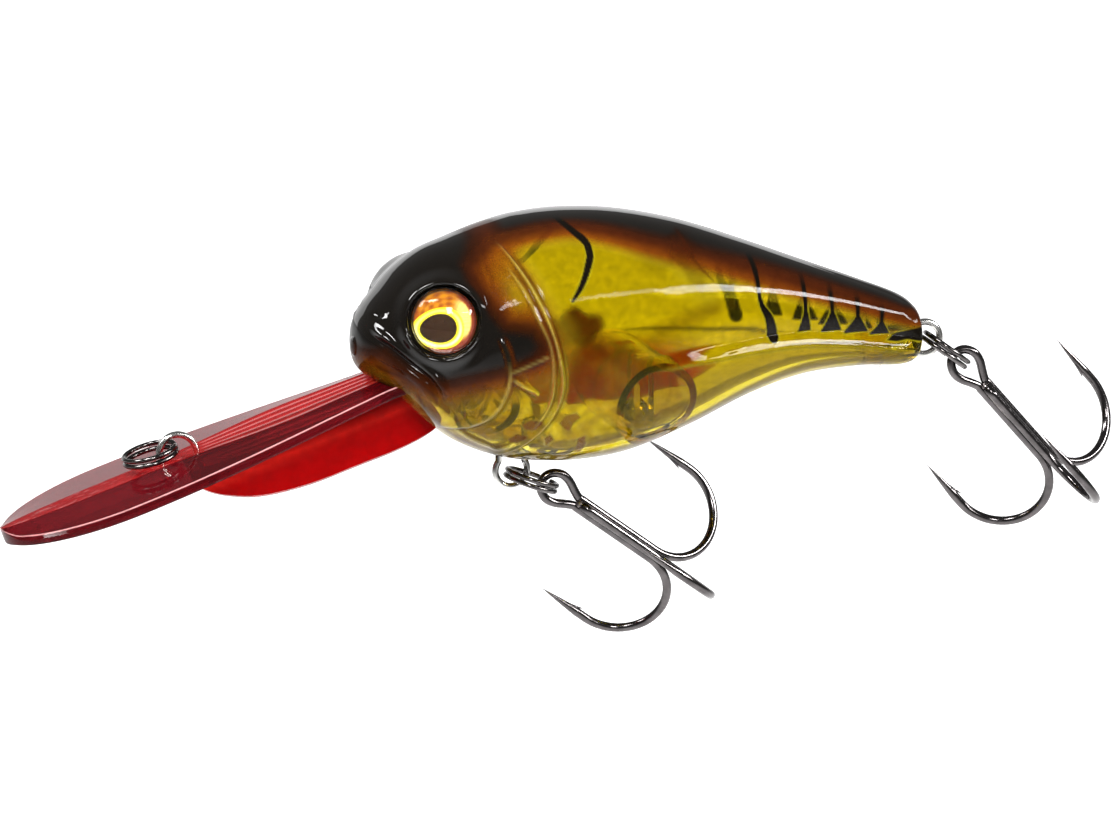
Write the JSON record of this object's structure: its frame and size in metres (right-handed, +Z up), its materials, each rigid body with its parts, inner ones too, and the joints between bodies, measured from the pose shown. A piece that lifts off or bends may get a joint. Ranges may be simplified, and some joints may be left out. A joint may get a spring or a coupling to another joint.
{
  "type": "crankbait lure",
  "caption": "Deep-diving crankbait: clear two-part fish body, long diving lip with keel, wire hangers, split rings and swinging treble hooks.",
  "frame": {"origin": "inside the line-tie loop on top of the diving lip, where a split ring or snap hangs, in the lure's mid-plane", "axes": "+X from the lip towards the tail, +Y to the fish's right side, +Z up from the belly to the back"},
  "size_m": [0.1384, 0.0255, 0.0529],
  "materials": {
    "clear_olive_body": "clear olive-yellow moulded plastic with a sprayed black and red-brown back, glossy top coat",
    "clear_red_lip": "clear red moulded plastic, polished",
    "bright_wire": "bright stainless wire",
    "dark_ring_steel": "black nickel plate",
    "hook_steel": "black nickel plated hook steel with a brazed shank",
    "iris_foil": "printed foil, orange and yellow with a dark pupil",
    "clear_dome": "clear epoxy dome",
    "ball_steel": "plain steel ball"
  },
  "bodies": {
    "root": {"body_shell_left": "clear_olive_body", "body_shell_right": "clear_olive_body", "diving_lip": "clear_red_lip", "line_tie_wire": "bright_wire", "belly_hanger_wire": "bright_wire", "tail_hanger_wire": "bright_wire", "eye_iris_left": "iris_foil", "eye_iris_right": "iris_foil", "eye_lens_left": "clear_dome", "eye_lens_right": "clear_dome", "ballast_ball": "ball_steel"},
    "line_ring": {"line_split_ring": "dark_ring_steel"},
    "belly_ring": {"belly_split_ring": "dark_ring_steel"},
    "belly_hook": {"belly_hook_double": "hook_steel", "belly_hook_third": "hook_steel"},
    "tail_ring": {"tail_split_ring": "dark_ring_steel"},
    "tail_hook": {"tail_hook_double": "hook_steel", "tail_hook_third": "hook_steel"},
    "rattle": {"rattle_ball": "ball_steel"}
  },
  "joints": [
    {"name": "line_ring_swing", "type": "hinge", "parent": "root", "child": "line_ring", "pos_m": [0, 0, 0], "axis": [0, 1, 0], "range_deg": [-5, 170]},
    {"name": "belly_ring_swing", "type": "hinge", "parent": "root", "child": "belly_ring", "pos_m": [0.0406, 0, -0.0059], "axis": [0, 1, 0], "range_deg": [-7, 110]},
    {"name": "belly_hook_sway", "type": "hinge", "parent": "belly_ring", "child": "belly_hook", "pos_m": [0.04351, 0, -0.00696], "axis": [0.342, 0, 0.9397], "range_deg": [-60, 60]},
    {"name": "tail_ring_swing", "type": "hinge", "parent": "root", "child": "tail_ring", "pos_m": [0.0923, 0, 0.00735], "axis": [0, 1, 0], "range_deg": [-115, 66]},
    {"name": "tail_hook_sway", "type": "hinge", "parent": "tail_ring", "child": "tail_hook", "pos_m": [0.09478, 0, 0.00548], "axis": [0.6018, 0, 0.7986], "range_deg": [-60, 60]},
    {"name": "rattle_roll", "type": "hinge", "parent": "root", "child": "rattle", "pos_m": [0.05615, 0, 0.0032], "axis": [0, 1, 0], "range_deg": [-75, 75]}
  ]
}
